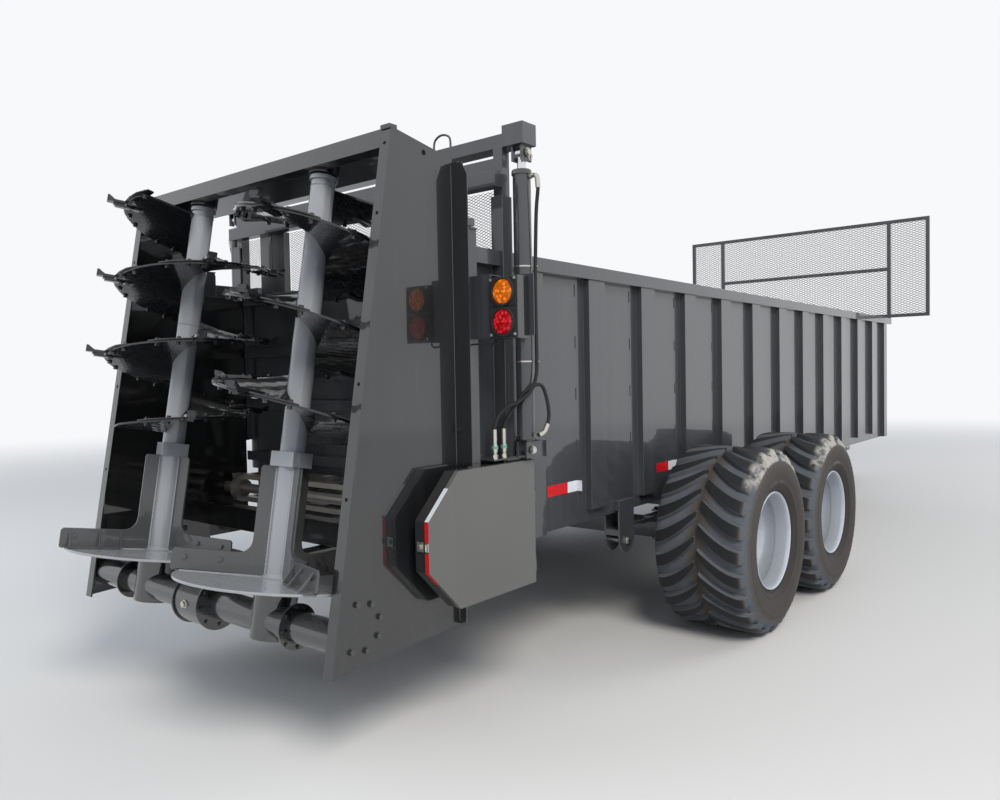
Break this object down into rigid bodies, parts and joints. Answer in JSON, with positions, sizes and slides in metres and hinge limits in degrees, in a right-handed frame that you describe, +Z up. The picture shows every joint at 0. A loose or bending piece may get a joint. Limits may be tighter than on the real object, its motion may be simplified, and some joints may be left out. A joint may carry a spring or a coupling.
{
  "type": "manure spreader",
  "caption": "Trailed tandem axle manure spreader: long ribbed box with apron floor, lifting rear gate, leaning vertical beaters in a housing, drawbar with parking jack.",
  "frame": {"origin": "middle of the machine's length and width, on the ground", "axes": "+X forward to the hitch, +Y to the machine's left side, +Z up"},
  "size_m": [11.1841, 3.65, 3.45],
  "materials": {
    "dark_paint": "gloss",
    "black_paint": "satin",
    "guard_paint": "gloss",
    "beater_paint": "gloss",
    "rim_silver": "gloss",
    "worn_steel": "worn",
    "chromed_rod": "polished",
    "zinc": "satin",
    "tyre_rubber": "dusty",
    "hose_rubber": "matt",
    "amber": "gloss",
    "red": "gloss"
  },
  "bodies": {
    "machine_body": {"left_wall": "dark_paint", "right_wall": "dark_paint", "front_wall": "dark_paint", "floor": "dark_paint", "chassis": "dark_paint", "rear_frame": "dark_paint", "top_rails": "dark_paint", "apron": "worn_steel", "apron_shafts": "worn_steel", "axles": "dark_paint", "springs": "black_paint", "spring_hangers": "dark_paint", "drawbar": "dark_paint", "hitch": "dark_paint", "jack_tube": "dark_paint", "housing_sides": "black_paint", "housing_hood": "black_paint", "beater_gear_train": "black_paint", "gate_cylinders": "dark_paint", "hoses": "hose_rubber", "hose_fittings": "zinc", "lamp_boxes": "black_paint", "amber_lenses": "amber", "red_lenses": "red", "guard_box": "guard_paint", "screen_frame": "dark_paint", "screen_mesh": "dark_paint"},
    "right_rear_wheel": {"tyre_right_rear": "tyre_rubber", "rim_right_rear": "rim_silver"},
    "right_front_wheel": {"tyre_right_front": "tyre_rubber", "rim_right_front": "rim_silver"},
    "left_rear_wheel": {"tyre_left_rear": "tyre_rubber", "rim_left_rear": "rim_silver"},
    "left_front_wheel": {"tyre_left_front": "tyre_rubber", "rim_left_front": "rim_silver"},
    "right_beater_rotor": {"right_beater": "beater_paint", "right_flights": "beater_paint"},
    "left_beater_rotor": {"left_beater": "beater_paint", "left_flights": "beater_paint"},
    "gate": {"gate_panel": "dark_paint", "gate_frame": "dark_paint", "gate_rods": "chromed_rod"},
    "lid": {"guard_lid": "guard_paint"},
    "jack": {"jack_leg": "zinc"},
    "shaft": {"driveline": "black_paint"}
  },
  "joints": [
    {"name": "right_rear_wheel_spin", "type": "hinge", "parent": "machine_body", "child": "right_rear_wheel", "pos_m": [-2.41295, -1.525, 0.575], "axis": [0, 1, 0], "continuous": true},
    {"name": "right_front_wheel_spin", "type": "hinge", "parent": "machine_body", "child": "right_front_wheel", "pos_m": [-1.20295, -1.525, 0.575], "axis": [0, 1, 0], "continuous": true},
    {"name": "left_rear_wheel_spin", "type": "hinge", "parent": "machine_body", "child": "left_rear_wheel", "pos_m": [-2.41295, 1.525, 0.575], "axis": [0, 1, 0], "continuous": true},
    {"name": "left_front_wheel_spin", "type": "hinge", "parent": "machine_body", "child": "left_front_wheel", "pos_m": [-1.20295, 1.525, 0.575], "axis": [0, 1, 0], "continuous": true},
    {"name": "right_beater_spin", "type": "hinge", "parent": "machine_body", "child": "right_beater_rotor", "pos_m": [-5.13295, -0.52, 0.735], "axis": [0.1702, 0, 0.9854], "continuous": true},
    {"name": "left_beater_spin", "type": "hinge", "parent": "machine_body", "child": "left_beater_rotor", "pos_m": [-5.13295, 0.52, 0.735], "axis": [0.1702, 0, 0.9854], "continuous": true},
    {"name": "driveline_spin", "type": "hinge", "parent": "machine_body", "child": "shaft", "pos_m": [-2.41295, 0, 0.675], "axis": [1, 0, 0], "continuous": true},
    {"name": "gate_lift", "type": "slide", "parent": "machine_body", "child": "gate", "axis": [0, 0, 1], "range_m": [0, 1.1]},
    {"name": "guard_lid_hinge", "type": "hinge", "parent": "machine_body", "child": "lid", "pos_m": [-4.09495, -1.195, 0.9], "axis": [0, 0, 1], "range_deg": [0, 110]},
    {"name": "jack_leg_slide", "type": "slide", "parent": "machine_body", "child": "jack", "axis": [0, 0, 1], "range_m": [0, 0.3]}
  ],
  "couplings": [
    {"joint": "left_beater_spin", "follows": "right_beater_spin", "ratio": -1},
    {"joint": "driveline_spin", "follows": "right_beater_spin", "ratio": 2.4}
  ]
}
